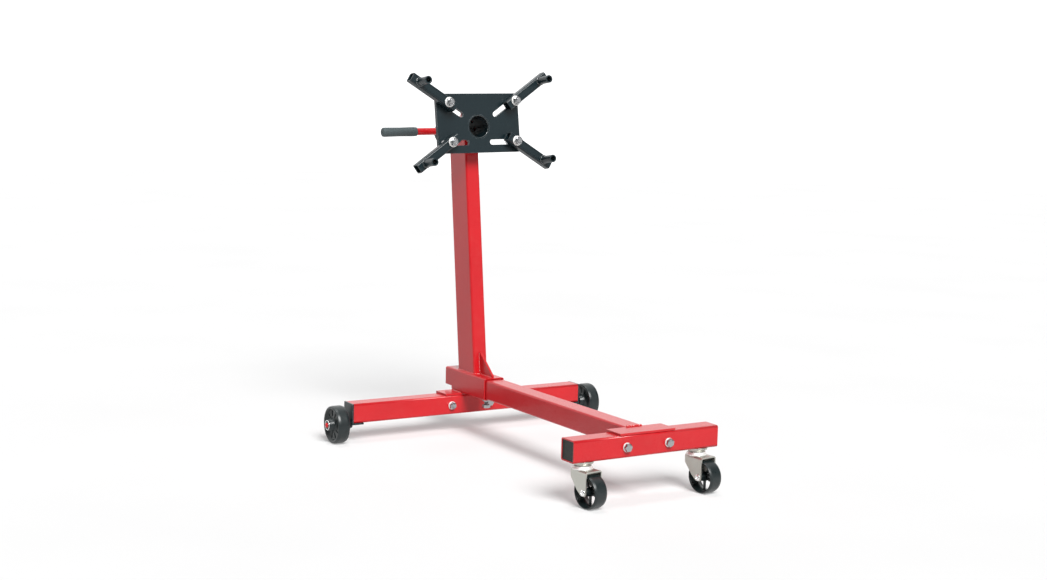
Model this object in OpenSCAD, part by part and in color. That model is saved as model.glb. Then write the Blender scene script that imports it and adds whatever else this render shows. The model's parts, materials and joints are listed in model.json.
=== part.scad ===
// Engine stand: a wheeled T-shaped base, a leaning mast and a turning head with four adjustable arms.
// Frame: +Z up, floor at Z = 0, the head faces -Y, origin on the floor in the middle of the outline.

/* [Base frame] */
// Outside width of the square beams and of the centre leg
beam = 50; // [44:1:54]
// Wall thickness of the beams, the leg and the mast foot
tube_wall = 3; // [2:0.5:4]
// Length of the front beam
front_len = 392; // [380:1:460]
// Length of the rear beam
rear_len = 680; // [600:1:760]
// Distance between the front faces of the two beams
base_span = 793; // [700:1:900]
// Height of the front beam above the floor
front_clear = 101; // [101:1:106]
// Height of the rear beam above the floor
rear_clear = 49; // [49:1:54]
// Width of the angle brackets on the beams
bracket_w = 150; // [140:1:170]
// Thickness of the angle brackets
bracket_t = 5; // [4:0.5:6]
// Distance between the two bolts of a bracket
bolt_gap = 114; // [100:1:120]

/* [Mast] */
// Width of the mast foot
foot_w = 58; // [58:1:62]
// Length of the mast foot ahead of the rear beam's front face
foot_front = 119; // [100:1:140]
// Length of the mast foot behind the rear beam's front face
foot_rear = 88; // [75:1:100]
// Width of the mast, seen from the front
mast_w = 40; // [34:1:46]
// Depth of the mast, seen from the side
mast_d = 86; // [76:1:92]
// Backward lean of the mast and the head
lean = 7; // [4:0.5:9]

/* [Head] */
// Height of the head's axis at the front of the plate
head_h = 805; // [760:1:850]
// How far the plate's centre stands ahead of the rear beam's front face
head_ahead = 12; // [0:1:30]
// Distance from the front of the plate to the front of the mast, along the head's axis
plate_reach = 40.5; // [38:0.5:60]
// Width of the mounting plate
plate_w = 244; // [230:1:260]
// Height of the mounting plate
plate_h = 154; // [148:1:170]
// Thickness of the mounting plate
plate_t = 10; // [8:1:11]
// How far the plate's middle is above the head's axis
plate_rise = 9; // [5:1:14]
// Outside diameter of the turning head tube
head_tube_d = 63.5; // [60:0.5:66]
// Length of the head tube from the front of the plate
head_tube_len = 188; // [180:1:200]
// Distance of the handle from the front of the plate
handle_back = 155; // [150:1:160]
// Reach of the handle's tip from the head's axis
handle_reach = 203; // [180:1:230]
// Length of the rubber grip
grip_len = 100; // [80:1:110]
// Angle that the head is turned by, anticlockwise seen from the front
head_turn = 1.5; // [0:0.5:5]

/* [Arms] */
// Outside width of the square arm tube
arm_w = 25; // [24:1:28]
// Distance from an arm's bolt to its outer end
arm_out = 120; // [110:1:135]
// Distance from an arm's bolt to its inner end
arm_in = 24; // [18:1:26]
// Distance from an arm's bolt to its finger sleeve
finger_at = 95; // [85:1:105]
// Length of a finger sleeve ahead of its arm
finger_len = 45; // [40:1:60]
// Width of the slots in the plate
slot_w = 14; // [13:0.5:15]
// Rest angle of the upper left arm, from the head's right
angle_upper_left = 147; // [140:1:160]
// Rest angle of the upper right arm
angle_upper_right = 33; // [25:1:45]
// Rest angle of the lower left arm
angle_lower_left = 213; // [200:1:220]
// Rest angle of the lower right arm
angle_lower_right = 327; // [310:1:335]

/* [Wheels] */
// Radius of the front caster wheels
caster_r = 37.5; // [35:0.5:37.5]
// Width of the front caster wheels
caster_w = 36; // [28:1:38]
// Distance of a caster's axle from its swivel axis
caster_trail = 30; // [25:1:32]
// Distance of a caster's swivel axis from the middle of the front beam
caster_x = 156; // [150:1:165]
// Angle that the casters are swivelled by, from straight ahead
caster_turn = 6; // [0:1:10]
// Radius of the rear wheels
rear_r = 47.5; // [45:0.5:47.5]
// Width of the rear wheels at the tread
rear_w = 32; // [28:1:36]
// Distance of a rear wheel's middle from the end of the rear beam
rear_out = 38; // [36:1:46]

/* [Hidden] */

$fn = 64;
red = [0.84, 0.15, 0.17];
black = [0.15, 0.17, 0.18];
rubber = [0.28, 0.30, 0.31];
zinc = [0.72, 0.73, 0.74];

// Gaps between pieces
run_gap = 0.05;
slide_gap = 0.2;
bolt_slack = 0.4;
past = 1;

// Outer and inner corner radius of the square tubes
corner_r = 5;
inner_r = 2;

// Brackets: how far a bolt is below the beam's middle, and where the rear flange ends
bolt_low = 1;
bracket_low = 2;

// Plugs in the ends of the front beam
plug_face_t = 2.5;
plug_inset = 1;
plug_deep = 12;

// Fasteners: shank radius, width across flats, head height, nut height
beam_bolt_r = 5;
beam_bolt_af = 17;
beam_head_h = 7;
beam_nut_h = 8;
big_bolt_r = 6;
big_bolt_af = 19;
big_head_h = 8;
big_nut_h = 10;
washer_t = 2.5;
beam_washer_r = 10.5;
arm_washer_r = 13;
tail = 3;

// Casters
fork_t = 3;
fork_gap = 1.5;
fork_nose = 10;
fork_heel = 21;
fork_knee = 22;
race_r = 24;
race_h = 7;
cup_r = 24;
cup_h = 6.5;
disc_r = 25;
disc_t = 3;
race_gap = 0.5;
caster_hub_r = 13;
caster_web_t = 5;
caster_rim_t = 6;
caster_shoulder = 4;
caster_bars = 5;
bar_w = 6;
window_gap = 1;
kingpin_r = 6;
kingpin_head_r = 9;
kingpin_head_h = 4;
caster_pin_r = 5;
rivet_r = 8;
rivet_h = 3;

// Rear wheels and their axles
rear_hub_r = 17;
rear_hub_w = 51;
rear_web_t = 8;
rear_rim_t = 10;
rear_shoulder = 6;
rear_axle_r = 6;
axle_tip = 6;
axle_ahead = 6;
spacer_wall = 3;
ring_r = 13;
ring_in = 11;
ring_t = 2;
clip_r = 10;
clip_t = 1.5;
axle_plate_t = 4;
axle_flange = 28;
axle_tab_r = 13;

// Head
sleeve_front = 13;
sleeve_len = 120;
sleeve_wall = 4.7;
head_wall = 3;
plate_corner = 4;
pin_back = 75;
pin_r = 5;
pin_hole_r = 5.3;
pin_clear = 2.5;
pin_drop = 9;
pin_boss_r = 10;
pin_boss_top = 46;
pin_collar_r = 8;
pin_collar_h = 4;
pin_neck = 11;
pin_bar_r = 4;
pin_bar_len = 46;
index_step = 45;
handle_r = 9.5;
handle_rise = 2.5;
handle_far = 40;
grip_r = 12.3;
grip_cap = 4;

// Slots: where each inner end's centre is, and how far the slot runs outward
upper_slot = [51, 31.5];
upper_slot_turn = 33;
upper_slot_len = 62;
lower_slot = [37.5, -41];
lower_slot_len = 70;
upper_left_rest = 55;
upper_right_rest = 59.5;
lower_left_rest = 56;
lower_right_rest = 60;

// Finger sleeves
finger_r = 10;
finger_bore_r = 6.5;

// Mast foot and gusset
foot_h = beam + 2 * tube_wall + 1;
foot_notch = 10.5;
leg_insert = 180;
clamp_back = 38;
clamp_drop = 27;
gusset_t = 6;
gusset_len = 62;
gusset_h = 56;
gusset_nose = 5;

// Places along Y and Z, worked out so that the outline is centred on the origin
tube_r = head_tube_d / 2;
sleeve_r = tube_r + run_gap + sleeve_wall;
caster_ahead = (caster_trail + caster_r - caster_shoulder) * cos(caster_turn);
caster_aside = (caster_w / 2 - caster_shoulder) * sin(caster_turn);
front_reach = caster_ahead + caster_aside + caster_shoulder - beam / 2;
rear_reach = base_span - head_ahead + head_tube_len * cos(lean) + tube_r * sin(lean);
front_y = (front_reach - rear_reach) / 2;
rear_y = front_y + base_span;
head_y = rear_y - head_ahead;
foot_z = rear_clear + beam + bracket_t;
foot_top = foot_z + foot_h;
leg_z = foot_z + tube_wall;
leg_front = front_y + beam + bracket_t;
leg_rear = rear_y - foot_front + leg_insert;
bolt_z = beam / 2 - bolt_low;
kingpin_y = front_y + beam / 2;
rear_axle_y = rear_y + beam / 2 - axle_ahead;

// Where the mast's front face meets the top of the foot
mast_base_y = head_y + plate_reach / cos(lean) - (head_h - foot_top) * tan(lean);

// Grip lengths of the bolts, and the front of an arm
beam_grip = beam + bracket_t + washer_t;
arm_front = slide_gap + arm_w;
arm_grip = plate_t + 3 * slide_gap + arm_w + washer_t;

// Where the arms' bolts are in the plate's plane
bolt_upper_left = upper_bolt(-1, upper_left_rest);
bolt_upper_right = upper_bolt(1, upper_right_rest);
bolt_lower_left = lower_bolt(-1, lower_left_rest);
bolt_lower_right = lower_bolt(1, lower_right_rest);

// The lock pin is drawn at rest: it drops by pin_drop to enter a hole of the head tube
pin_low = tube_r + pin_clear;
pin_top = pin_boss_top + pin_drop + pin_neck;

// Caster fork: its top, its inner half width and the foot of its kingpin
caster_top = front_clear - disc_t - cup_h - race_gap - race_h;
fork_in = caster_w / 2 + fork_gap;
kingpin_low = caster_top - fork_t - race_gap;

// The slanting edge of a fork leg touches the round nose at nose_turn
knee_y = caster_trail + fork_heel;
knee_z = caster_top - fork_knee - caster_r;
nose_turn = atan2(knee_z, knee_y) - acos(fork_nose / norm([knee_y, knee_z]));

// Outer end of a rear wheel's hub, from the end of the rear beam
hub_end = rear_out + rear_hub_w / 2;

// ---- Shapes that repeat ----

module rounded_rect(w, h, r) {
    square([w - 2 * r, h], center = true);
    square([w, h - 2 * r], center = true);
    for (x = [-1, 1])
        for (y = [-1, 1])
            translate([x * (w / 2 - r), y * (h / 2 - r)])
                circle(r);
}

// Square tube along Z, standing on Z = 0
module box_tube(w, h, len, wall) {
    linear_extrude(len)
        difference() {
            rounded_rect(w, h, corner_r);
            rounded_rect(w - 2 * wall, h - 2 * wall, inner_r);
        }
}

// Turns Z to X and keeps Y
module along_x() {
    rotate([0, 90, 0])
        children();
}

// Turns Z to Y and keeps X
module along_y() {
    rotate([-90, 0, 0])
        children();
}

// Turns an outline drawn as (Y, Z) into a plate across X
module across_x(t) {
    rotate([90, 0, 90])
        translate([0, 0, -t / 2])
            linear_extrude(t)
                children();
}

module hex_prism(af, h) {
    cylinder(r = af / sqrt(3), h = h, $fn = 6);
}

// Bolt along Z: its head ends at Z = 0 and its shank runs up
module hex_bolt(r, af, head_h, len) {
    translate([0, 0, -head_h])
        hex_prism(af, head_h);
    cylinder(r = r, h = len);
}

module hex_nut(r, af, h) {
    difference() {
        hex_prism(af, h);
        translate([0, 0, -past])
            cylinder(r = r + run_gap, h = h + 2 * past);
    }
}

module ring(r_out, r_in, h) {
    difference() {
        cylinder(r = r_out, h = h);
        translate([0, 0, -past])
            cylinder(r = r_in, h = h + 2 * past);
    }
}

// Both sides of the stand
module both_sides() {
    for (side = [-1, 1])
        scale([side, 1, 1])
            children();
}

// ---- Base frame ----

// Two holes through a beam and its bracket, along Y
module bracket_holes(y, z) {
    for (x = [-1, 1])
        translate([x * bolt_gap / 2, y - past, z + bolt_z])
            along_y()
                cylinder(r = beam_bolt_r + bolt_slack, h = beam + bracket_t + 2 * past);
}

module beam_tube(len, y, z) {
    translate([-len / 2, y + beam / 2, z + beam / 2])
        along_x()
            box_tube(beam, beam, len, tube_wall);
}

module rear_beam() {
    color(red)
        difference() {
            beam_tube(rear_len, rear_y, rear_clear);
            bracket_holes(rear_y, rear_clear);
        }
}

module front_beam() {
    color(red)
        difference() {
            beam_tube(front_len, front_y, front_clear);
            bracket_holes(front_y, front_clear);
            for (x = [-1, 1])
                translate([x * caster_x, kingpin_y, front_clear - past])
                    cylinder(r = kingpin_r + bolt_slack, h = tube_wall + 2 * past);
        }
}

// Angle bracket: one flange lies on the beam and the other stands behind it
module angle_bracket(y, z) {
    color(red)
        difference() {
            translate([0, y, z])
                across_x(bracket_w)
                    polygon([
                        [0, beam],
                        [0, beam + bracket_t],
                        [beam + bracket_t, beam + bracket_t],
                        [beam + bracket_t, bracket_low],
                        [beam, bracket_low],
                        [beam, beam]
                    ]);
            bracket_holes(y, z);
        }
}

module rear_bracket() {
    angle_bracket(rear_y, rear_clear);
}

module front_bracket() {
    angle_bracket(front_y, front_clear);
}

module centre_leg() {
    color(red)
        translate([0, leg_front, leg_z + beam / 2])
            along_y()
                box_tube(beam, beam, leg_rear - leg_front, tube_wall);
}

// The bolts of both brackets: place each child at a bolt, with Z along +Y
module each_beam_bolt(back) {
    for (row = [[front_y, front_clear], [rear_y, rear_clear]])
        for (x = [-1, 1])
            translate([x * bolt_gap / 2, row[0] + back, row[1] + bolt_z])
                along_y()
                    children();
}

module beam_bolts() {
    bolt_len = beam_grip + washer_t + beam_nut_h + tail;
    color(zinc)
        each_beam_bolt(-washer_t)
            hex_bolt(beam_bolt_r, beam_bolt_af, beam_head_h, bolt_len);
}

module beam_washers() {
    color(zinc)
        for (back = [-washer_t, beam + bracket_t])
            each_beam_bolt(back)
                ring(beam_washer_r, beam_bolt_r + bolt_slack, washer_t);
}

module beam_nuts() {
    color(zinc)
        each_beam_bolt(beam_grip)
            hex_nut(beam_bolt_r, beam_bolt_af, beam_nut_h);
}

module front_plugs() {
    plug_w = beam - 2 * tube_wall - slide_gap;
    plug_in = plug_w - 2 * tube_wall;
    color(black)
        both_sides()
            translate([front_len / 2 - plug_inset, front_y + beam / 2, front_clear + beam / 2])
                along_x() {
                    translate([0, 0, -plug_face_t])
                        linear_extrude(plug_face_t)
                            rounded_rect(plug_w, plug_w, inner_r);
                    translate([0, 0, -plug_deep])
                        linear_extrude(plug_deep)
                            difference() {
                                rounded_rect(plug_w, plug_w, inner_r);
                                rounded_rect(plug_in, plug_in, inner_r);
                            }
                }
}

// ---- Mast ----

// The sleeve's own frame: X to the right, Y back along the head's axis, Z up the mast
module head_frame() {
    translate([0, head_y, head_h])
        rotate([-lean, 0, 0])
            children();
}

module mast_foot() {
    color(red)
        difference() {
            translate([0, rear_y - foot_front, foot_z + foot_h / 2])
                along_y()
                    box_tube(foot_w, foot_h, foot_front + foot_rear, tube_wall);
            translate([-foot_w, rear_y + beam + bracket_t, foot_z - past])
                cube([2 * foot_w, foot_rear, foot_notch + past]);
            translate([0, rear_y - foot_front + clamp_back, foot_z - past])
                cylinder(r = big_bolt_r + bolt_slack, h = tube_wall + 2 * past);
        }
}

module mast() {
    color(red)
        difference() {
            head_frame()
                translate([0, plate_reach + mast_d / 2, -head_h])
                    box_tube(mast_w, mast_d, head_h - sleeve_r / 2, tube_wall);
            translate([-mast_w, head_y - head_h, foot_top - head_h])
                cube([2 * mast_w, 2 * head_h, head_h]);
            head_frame()
                along_y()
                    cylinder(r = sleeve_r, h = head_tube_len);
        }
}

module mast_gusset() {
    color(red)
        translate([0, mast_base_y, foot_top])
            across_x(gusset_t)
                polygon([
                    [0, 0],
                    [-gusset_len, 0],
                    [-gusset_len, gusset_nose],
                    [gusset_h * tan(lean) - gusset_nose, gusset_h],
                    [gusset_h * tan(lean), gusset_h]
                ]);
}

module clamp_nut() {
    color(zinc)
        translate([0, rear_y - foot_front + clamp_back, foot_z - big_nut_h])
            hex_nut(big_bolt_r, big_bolt_af, big_nut_h);
}

module clamp_bolt() {
    color(zinc)
        translate([0, rear_y - foot_front + clamp_back, foot_z - clamp_drop + big_head_h])
            hex_bolt(big_bolt_r, big_bolt_af, big_head_h, clamp_drop - big_head_h + tube_wall);
}

module head_sleeve() {
    color(red)
        difference() {
            head_frame()
                translate([0, sleeve_front, 0])
                    along_y()
                        ring(sleeve_r, tube_r + run_gap, sleeve_len);
            head_frame()
                translate([0, pin_back, 0])
                    cylinder(r = pin_r + run_gap, h = pin_boss_top);
        }
}

module pin_boss() {
    color(red)
        head_frame()
            difference() {
                translate([0, pin_back, 0])
                    ring(pin_boss_r, pin_r + run_gap, pin_boss_top);
                along_y()
                    cylinder(r = sleeve_r, h = head_tube_len);
            }
}

module lock_pin() {
    color(zinc)
        head_frame()
            translate([0, pin_back, 0]) {
                translate([0, 0, pin_low])
                    cylinder(r = pin_r, h = pin_top - pin_low);
                translate([0, 0, pin_boss_top + pin_drop])
                    cylinder(r = pin_collar_r, h = pin_collar_h);
                translate([-pin_bar_len / 2, 0, pin_top])
                    along_x()
                        cylinder(r = pin_bar_r, h = pin_bar_len);
            }
}

// ---- Head ----

// The head's own frame: the sleeve's frame, turned about the head's axis
module turned_frame() {
    head_frame()
        rotate([0, -head_turn, 0])
            children();
}

module head_tube() {
    color(black)
        turned_frame()
            difference() {
                along_y()
                    ring(tube_r, tube_r - head_wall, head_tube_len);
                for (turn = [0 : index_step : 359])
                    translate([0, pin_back, 0])
                        rotate([0, turn + head_turn, 0])
                            cylinder(r = pin_hole_r, h = tube_r + past);
                translate([-tube_r - past, handle_back, handle_rise])
                    along_x()
                        cylinder(r = handle_r + run_gap, h = 2 * (tube_r + past));
            }
}

// A slot along X, from one end's centre at the origin
module slot(len) {
    translate([0, -slot_w / 2])
        square([len, slot_w]);
    circle(d = slot_w);
    translate([len, 0])
        circle(d = slot_w);
}

module plate_outline() {
    difference() {
        translate([0, plate_rise])
            rounded_rect(plate_w, plate_h, plate_corner);
        circle(r = tube_r + run_gap);
        for (side = [-1, 1])
            scale([side, 1]) {
                translate(upper_slot)
                    rotate(upper_slot_turn)
                        slot(upper_slot_len);
                translate(lower_slot)
                    slot(lower_slot_len);
            }
    }
}

module mounting_plate() {
    color(black)
        turned_frame()
            translate([0, plate_t, 0])
                rotate([90, 0, 0])
                    linear_extrude(plate_t)
                        plate_outline();
}

module handle_bar() {
    color(red)
        turned_frame()
            translate([-handle_reach + grip_cap, handle_back, handle_rise])
                along_x()
                    cylinder(r = handle_r, h = handle_reach - grip_cap + handle_far);
}

module handle_grip() {
    color(rubber)
        turned_frame()
            translate([-handle_reach, handle_back, handle_rise])
                along_x()
                    difference() {
                        union() {
                            translate([0, 0, grip_cap])
                                cylinder(r = grip_r, h = grip_len - grip_cap);
                            rotate_extrude() {
                                square([grip_r - grip_cap, grip_cap + past]);
                                translate([grip_r - grip_cap, grip_cap])
                                    circle(r = grip_cap);
                            }
                        }
                        translate([0, 0, grip_cap])
                            cylinder(r = handle_r + run_gap, h = grip_len);
                    }
}

// ---- Arms ----

// The bolt of an arm, in the plate's plane: side is -1 for left and 1 for right
function upper_bolt(side, rest) = [
    side * (upper_slot[0] + rest * cos(upper_slot_turn)),
    upper_slot[1] + rest * sin(upper_slot_turn)
];
function lower_bolt(side, rest) = [side * (lower_slot[0] + rest), lower_slot[1]];

// An arm's own frame: X outward along the arm, Y back, origin on its bolt at the plate's front
module arm_frame(bolt, angle) {
    turned_frame()
        translate([bolt[0], 0, bolt[1]])
            rotate([0, -angle, 0])
                children();
}

module arm_bolt(bolt) {
    color(zinc)
        arm_frame(bolt, 0)
            translate([0, plate_t + slide_gap, 0])
                rotate([90, 0, 0])
                    hex_bolt(big_bolt_r, big_bolt_af, big_head_h, arm_grip + big_nut_h + tail);
}

module arm_washer(bolt) {
    color(zinc)
        arm_frame(bolt, 0)
            translate([0, -arm_front - slide_gap, 0])
                rotate([90, 0, 0])
                    ring(arm_washer_r, big_bolt_r + run_gap, washer_t);
}

module arm_nut(bolt) {
    color(zinc)
        arm_frame(bolt, 0)
            translate([0, plate_t + slide_gap - arm_grip, 0])
                rotate([90, 0, 0])
                    hex_nut(big_bolt_r, big_bolt_af, big_nut_h);
}

// A hole through the arm from front to back
module arm_hole(x, r) {
    translate([x, past, 0])
        rotate([90, 0, 0])
            cylinder(r = r, h = arm_front + 2 * past);
}

module arm(bolt, angle) {
    color(black)
        arm_frame(bolt, angle)
            difference() {
                translate([-arm_in, -slide_gap - arm_w / 2, 0])
                    along_x()
                        box_tube(arm_w, arm_w, arm_in + arm_out, tube_wall);
                arm_hole(0, big_bolt_r + run_gap);
                arm_hole(finger_at, finger_bore_r + bolt_slack);
            }
}

module finger(bolt, angle) {
    color(black)
        arm_frame(bolt, angle)
            translate([finger_at, -arm_front, 0])
                rotate([90, 0, 0])
                    ring(finger_r, finger_bore_r, finger_len);
}

// ---- Front casters ----

// A caster's own frame: origin on the floor under its swivel axis, with the axle along X
module caster_frame(side) {
    translate([side * caster_x, kingpin_y, 0])
        rotate(caster_turn)
            children();
}

module caster_plates() {
    color(zinc)
        for (side = [-1, 1])
            caster_frame(side)
                difference() {
                    union() {
                        translate([0, 0, front_clear - disc_t])
                            cylinder(r = disc_r, h = disc_t);
                        translate([0, 0, front_clear - disc_t - cup_h])
                            cylinder(r = cup_r, h = cup_h);
                    }
                    cylinder(r = kingpin_r + run_gap, h = front_clear + past);
                }
}

module kingpins() {
    pin_len = front_clear + tube_wall + big_nut_h + tail - kingpin_low;
    color(zinc)
        for (side = [-1, 1])
            caster_frame(side) {
                translate([0, 0, kingpin_low - kingpin_head_h])
                    cylinder(r = kingpin_head_r, h = kingpin_head_h);
                translate([0, 0, kingpin_low])
                    cylinder(r = kingpin_r, h = pin_len);
            }
}

module kingpin_nuts() {
    color(zinc)
        for (side = [-1, 1])
            caster_frame(side)
                translate([0, 0, front_clear + tube_wall])
                    hex_nut(kingpin_r, big_bolt_af, big_nut_h);
}

module fork_leg_outline() {
    translate([-caster_trail, caster_r])
        difference() {
            union() {
                circle(r = fork_nose);
                polygon([
                    [-fork_nose, 0],
                    [-fork_nose, caster_top - caster_r],
                    [knee_y, caster_top - caster_r],
                    [knee_y, knee_z],
                    [fork_nose * cos(nose_turn), fork_nose * sin(nose_turn)],
                    [0, 0]
                ]);
            }
            circle(r = caster_pin_r + run_gap);
        }
}

module caster_fork(side) {
    color(zinc)
        caster_frame(side)
            difference() {
                union() {
                    for (x = [-1, 1])
                        translate([x * (fork_in + fork_t / 2), 0, 0])
                            across_x(fork_t)
                                fork_leg_outline();
                    translate([-fork_in, -caster_trail - fork_nose, caster_top - fork_t])
                        cube([2 * fork_in, knee_y + fork_nose, fork_t]);
                    translate([0, 0, caster_top - fork_t])
                        cylinder(r = race_r, h = fork_t + race_h);
                }
                cylinder(r = kingpin_r + run_gap, h = front_clear);
            }
}

module caster_axle(side) {
    half = fork_in + fork_t;
    color(zinc)
        caster_frame(side)
            translate([0, -caster_trail, caster_r])
                along_x() {
                    translate([0, 0, -half - rivet_h])
                        cylinder(r = rivet_r, h = rivet_h);
                    translate([0, 0, -half])
                        cylinder(r = caster_pin_r, h = 2 * half);
                    translate([0, 0, half])
                        cylinder(r = rivet_r, h = rivet_h);
                }
}

// Half section of a wheel: hub, web and a tread with round shoulders
module wheel_section(r, w, hub_r, hub_w, web_t, rim_t, bore_r, shoulder) {
    translate([bore_r, -hub_w / 2])
        square([hub_r - bore_r, hub_w]);
    translate([bore_r, -web_t / 2])
        square([r - rim_t - bore_r + past, web_t]);
    translate([r - rim_t, -w / 2])
        square([rim_t - shoulder, w]);
    translate([r - rim_t, -w / 2 + shoulder])
        square([rim_t, w - 2 * shoulder]);
    for (y = [-1, 1])
        translate([r - shoulder, y * (w / 2 - shoulder)])
            circle(r = shoulder);
}

module caster_wheel(side) {
    window_out = caster_r - caster_rim_t - window_gap;
    window_in = caster_hub_r + window_gap;
    color(black)
        caster_frame(side)
            translate([0, -caster_trail, caster_r])
                along_x()
                    difference() {
                        rotate_extrude()
                            wheel_section(
                                caster_r, caster_w, caster_hub_r, caster_w, caster_web_t,
                                caster_rim_t, caster_pin_r + run_gap, caster_shoulder
                            );
                        difference() {
                            translate([0, 0, -caster_web_t])
                                ring(window_out, window_in, 2 * caster_web_t);
                            for (i = [1 : caster_bars])
                                rotate(i * 360 / caster_bars)
                                    translate([0, -bar_w / 2, -caster_web_t])
                                        cube([caster_r, bar_w, 2 * caster_web_t]);
                        }
                    }
}

// ---- Rear wheels ----

module axle_brackets() {
    color(black)
        both_sides()
            difference() {
                union() {
                    translate([rear_len / 2, rear_y, rear_clear - axle_plate_t])
                        cube([axle_plate_t, beam, beam + axle_plate_t]);
                    translate([rear_len / 2 - axle_flange, rear_y, rear_clear - axle_plate_t])
                        cube([axle_flange, beam, axle_plate_t]);
                    translate([rear_len / 2, rear_axle_y, rear_r])
                        along_x()
                            cylinder(r = axle_tab_r, h = axle_plate_t);
                }
                translate([rear_len / 2 - past, rear_axle_y, rear_r])
                    along_x()
                        cylinder(r = rear_axle_r + run_gap, h = axle_plate_t + 2 * past);
            }
}

// A rear axle's own frame: Z outward along the axle, origin at the end of the rear beam
module axle_frame(side) {
    translate([side * rear_len / 2, rear_axle_y, rear_r])
        rotate([0, side * 90, 0])
            children();
}

module rear_axles() {
    color(red)
        for (side = [-1, 1])
            axle_frame(side)
                cylinder(r = rear_axle_r, h = hub_end + axle_tip);
}

module axle_spacers() {
    spacer_end = rear_out - rear_hub_w / 2 - slide_gap;
    color(black)
        for (side = [-1, 1])
            axle_frame(side)
                translate([0, 0, axle_plate_t])
                    ring(rear_axle_r + spacer_wall, rear_axle_r + run_gap, spacer_end - axle_plate_t);
}

module axle_clips() {
    color(black)
        for (side = [-1, 1])
            axle_frame(side)
                translate([0, 0, hub_end + slide_gap])
                    ring(clip_r, rear_axle_r + run_gap, clip_t);
}

module rear_wheel(side) {
    color(black)
        axle_frame(side)
            translate([0, 0, rear_out])
                rotate_extrude()
                    wheel_section(
                        rear_r, rear_w, rear_hub_r, rear_hub_w, rear_web_t,
                        rear_rim_t, rear_axle_r + run_gap, rear_shoulder
                    );
}

module hub_ring(side) {
    color(zinc)
        axle_frame(side)
            translate([0, 0, hub_end])
                ring(ring_r, ring_in, ring_t);
}

// ---- Output ----

rear_beam();
front_beam();
centre_leg();
rear_bracket();
front_bracket();
mast_foot();
mast();
mast_gusset();
head_sleeve();
pin_boss();
clamp_nut();
clamp_bolt();
beam_bolts();
beam_washers();
beam_nuts();
front_plugs();
axle_brackets();
rear_axles();
axle_spacers();
axle_clips();
caster_plates();
kingpins();
kingpin_nuts();
lock_pin();
head_tube();
mounting_plate();
handle_bar();
handle_grip();
rear_wheel(-1);  // rear_wheel_left
rear_wheel(1);  // rear_wheel_right
hub_ring(-1);  // hub_ring_left
hub_ring(1);  // hub_ring_right
caster_fork(-1);  // caster_fork_left
caster_fork(1);  // caster_fork_right
caster_axle(-1);  // caster_axle_left
caster_axle(1);  // caster_axle_right
caster_wheel(-1);  // caster_wheel_left
caster_wheel(1);  // caster_wheel_right
arm_bolt(bolt_upper_left);  // arm_bolt_upper_left
arm_washer(bolt_upper_left);  // arm_washer_upper_left
arm_nut(bolt_upper_left);  // arm_nut_upper_left
arm(bolt_upper_left, angle_upper_left);  // arm_upper_left
finger(bolt_upper_left, angle_upper_left);  // finger_upper_left
arm_bolt(bolt_upper_right);  // arm_bolt_upper_right
arm_washer(bolt_upper_right);  // arm_washer_upper_right
arm_nut(bolt_upper_right);  // arm_nut_upper_right
arm(bolt_upper_right, angle_upper_right);  // arm_upper_right
finger(bolt_upper_right, angle_upper_right);  // finger_upper_right
arm_bolt(bolt_lower_left);  // arm_bolt_lower_left
arm_washer(bolt_lower_left);  // arm_washer_lower_left
arm_nut(bolt_lower_left);  // arm_nut_lower_left
arm(bolt_lower_left, angle_lower_left);  // arm_lower_left
finger(bolt_lower_left, angle_lower_left);  // finger_lower_left
arm_bolt(bolt_lower_right);  // arm_bolt_lower_right
arm_washer(bolt_lower_right);  // arm_washer_lower_right
arm_nut(bolt_lower_right);  // arm_nut_lower_right
arm(bolt_lower_right, angle_lower_right);  // arm_lower_right
finger(bolt_lower_right, angle_lower_right);  // finger_lower_right
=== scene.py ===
import json
import math
from collections import namedtuple
import bmesh
import bpy
from mathutils import Matrix, Vector, noise


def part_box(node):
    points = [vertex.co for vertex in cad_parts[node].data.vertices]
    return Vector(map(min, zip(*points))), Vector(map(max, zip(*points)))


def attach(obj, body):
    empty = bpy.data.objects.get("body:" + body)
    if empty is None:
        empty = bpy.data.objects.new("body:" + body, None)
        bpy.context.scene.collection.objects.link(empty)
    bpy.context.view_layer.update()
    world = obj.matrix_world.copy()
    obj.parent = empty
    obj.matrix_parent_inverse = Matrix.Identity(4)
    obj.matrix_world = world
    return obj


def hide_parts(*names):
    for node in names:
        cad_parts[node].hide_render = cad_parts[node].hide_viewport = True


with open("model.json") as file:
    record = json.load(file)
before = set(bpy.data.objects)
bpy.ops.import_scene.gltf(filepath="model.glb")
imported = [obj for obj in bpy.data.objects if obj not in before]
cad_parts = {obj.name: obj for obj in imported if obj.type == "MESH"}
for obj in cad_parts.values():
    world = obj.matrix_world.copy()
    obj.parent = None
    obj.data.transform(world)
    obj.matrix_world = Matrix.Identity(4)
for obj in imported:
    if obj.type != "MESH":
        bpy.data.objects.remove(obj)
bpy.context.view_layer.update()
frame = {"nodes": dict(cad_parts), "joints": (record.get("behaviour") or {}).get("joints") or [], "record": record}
JOINTS = {joint["name"]: joint for joint in frame["joints"]}
MOUNTS = {mount["name"]: mount for mount in frame["record"]["mounts"]}
NUT_TURNS = {"upper_left": 12, "upper_right": 31, "lower_left": 48, "lower_right": 4}
CORNERS = tuple(NUT_TURNS)
SIDES = ("left", "right")
X_AXIS = Vector((1, 0, 0))
Z_AXIS = Vector((0, 0, 1))
mm = 0.001

# A solid piece is turned from a profile that starts this far from its axis
CORE = 0.2 * mm
# Edges that bend more than this are sharp
SHARP = math.radians(32)
# Gap between a bolt and its nut's bore, and between a bolt and the hole that it passes
NUT_GAP = 0.02 * mm
HOLE_GAP = 0.05 * mm
# Radius of a caster's axle
CASTER_PIN = 5 * mm
# Width of the rounding on a nut's edges
NUT_EDGE = 0.25 * mm

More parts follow.
